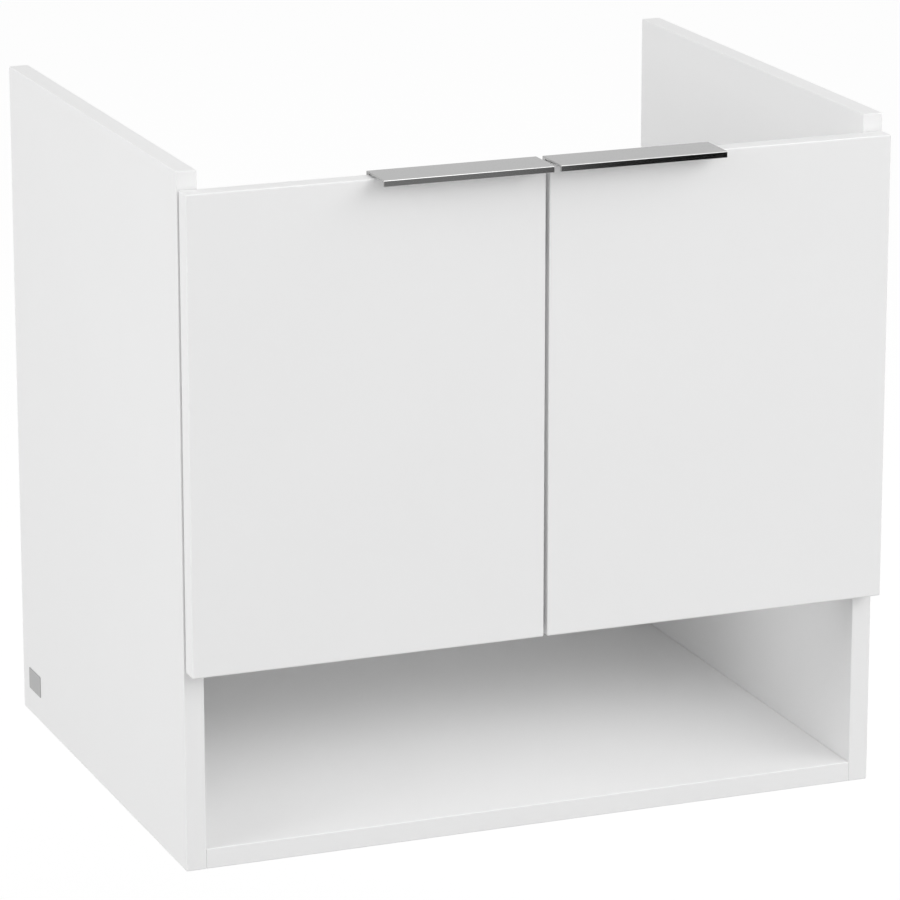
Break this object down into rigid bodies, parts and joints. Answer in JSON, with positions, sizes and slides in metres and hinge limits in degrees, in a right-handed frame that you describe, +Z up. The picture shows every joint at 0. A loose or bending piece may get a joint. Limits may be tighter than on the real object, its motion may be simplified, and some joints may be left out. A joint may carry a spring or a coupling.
{
  "type": "wall-hung sink base cabinet",
  "caption": "White wall-hung base unit for a washbasin: open top, a pair of doors with edge-pull handles on concealed hinges, and an open shelf compartment below.",
  "frame": {"origin": "bottom of the wall plane, half way across the carcass", "axes": "+Y into the wall, so the doors face -Y; +X to the right seen from the front; +Z up"},
  "size_m": [0.5705, 0.4577, 0.54],
  "materials": {
    "carcass_board": "white melamine-faced board, matt",
    "door_board": "white lacquered board, satin matt",
    "handle_aluminium": "brushed and anodised",
    "hinge_steel": "nickel plated",
    "screw_steel": "zinc plated",
    "cam_zinc": "bare die-cast zinc",
    "dowel_beech": "bare beech",
    "bumper_soft": "clear soft dots",
    "hanger_plastic": "moulded, matt",
    "hanger_steel": "zinc plated",
    "label_aluminium": "bare satin plate"
  },
  "bodies": {
    "carcass": {"blank_plate": "label_aluminium", "bottom_panel": "carcass_board", "cam_bolts": "screw_steel", "cam_housings": "cam_zinc", "dowels": "dowel_beech", "front_rail": "carcass_board", "left_hanger_adjusters": "screw_steel", "left_hanger_housing": "hanger_plastic", "left_hanger_screws": "screw_steel", "left_hinge_arm_pins": "hinge_steel", "left_hinge_arm_screws": "screw_steel", "left_hinge_plate_screws": "screw_steel", "left_lower_hinge_arm": "hinge_steel", "left_lower_hinge_plate": "hinge_steel", "left_side": "carcass_board", "left_upper_hinge_arm": "hinge_steel", "left_upper_hinge_plate": "hinge_steel", "middle_shelf": "carcass_board", "niche_back": "carcass_board", "rear_rail": "carcass_board", "right_hanger_adjusters": "screw_steel", "right_hanger_housing": "hanger_plastic", "right_hanger_screws": "screw_steel", "right_hinge_arm_pins": "hinge_steel", "right_hinge_arm_screws": "screw_steel", "right_hinge_plate_screws": "screw_steel", "right_lower_hinge_arm": "hinge_steel", "right_lower_hinge_plate": "hinge_steel", "right_side": "carcass_board", "right_upper_hinge_arm": "hinge_steel", "right_upper_hinge_plate": "hinge_steel"},
    "left_links": {"left_hinge_links": "hinge_steel"},
    "left_door": {"left_door": "door_board", "left_handle": "handle_aluminium", "left_handle_screws": "screw_steel", "left_bumpers": "bumper_soft", "left_lower_hinge_cup": "hinge_steel", "left_upper_hinge_cup": "hinge_steel", "left_hinge_cup_screws": "screw_steel", "left_hinge_cup_pins": "hinge_steel"},
    "right_links": {"right_hinge_links": "hinge_steel"},
    "right_door": {"right_door": "door_board", "right_handle": "handle_aluminium", "right_handle_screws": "screw_steel", "right_bumpers": "bumper_soft", "right_lower_hinge_cup": "hinge_steel", "right_upper_hinge_cup": "hinge_steel", "right_hinge_cup_screws": "screw_steel", "right_hinge_cup_pins": "hinge_steel"},
    "left_carriage": {"left_hanger_carriage": "hanger_steel"},
    "left_hook": {"left_hanger_hook": "hanger_steel"},
    "right_carriage": {"right_hanger_carriage": "hanger_steel"},
    "right_hook": {"right_hanger_hook": "hanger_steel"}
  },
  "joints": [
    {"name": "left_link_swing", "type": "hinge", "parent": "carcass", "child": "left_links", "pos_m": [-0.255, -0.419, 0], "axis": [0, 0, 1], "range_deg": [0, 27.5]},
    {"name": "left_door_swing", "type": "hinge", "parent": "left_links", "child": "left_door", "pos_m": [-0.2748, -0.4281, 0], "axis": [0, 0, -1], "range_deg": [0, 130]},
    {"name": "right_link_swing", "type": "hinge", "parent": "carcass", "child": "right_links", "pos_m": [0.255, -0.419, 0], "axis": [0, 0, -1], "range_deg": [0, 27.5]},
    {"name": "right_door_swing", "type": "hinge", "parent": "right_links", "child": "right_door", "pos_m": [0.2748, -0.4281, 0], "axis": [0, 0, 1], "range_deg": [0, 130]},
    {"name": "left_hanger_lift", "type": "slide", "parent": "carcass", "child": "left_carriage", "axis": [0, 0, 1], "range_m": [-0.006, 0.006]},
    {"name": "left_hanger_reach", "type": "slide", "parent": "left_carriage", "child": "left_hook", "axis": [0, 1, 0], "range_m": [-0.004, 0.004]},
    {"name": "right_hanger_lift", "type": "slide", "parent": "carcass", "child": "right_carriage", "axis": [0, 0, 1], "range_m": [-0.006, 0.006]},
    {"name": "right_hanger_reach", "type": "slide", "parent": "right_carriage", "child": "right_hook", "axis": [0, 1, 0], "range_m": [-0.004, 0.004]}
  ],
  "couplings": [
    {"joint": "left_link_swing", "follows": "left_door_swing", "ratio": 0.208},
    {"joint": "right_link_swing", "follows": "right_door_swing", "ratio": 0.208}
  ]
}
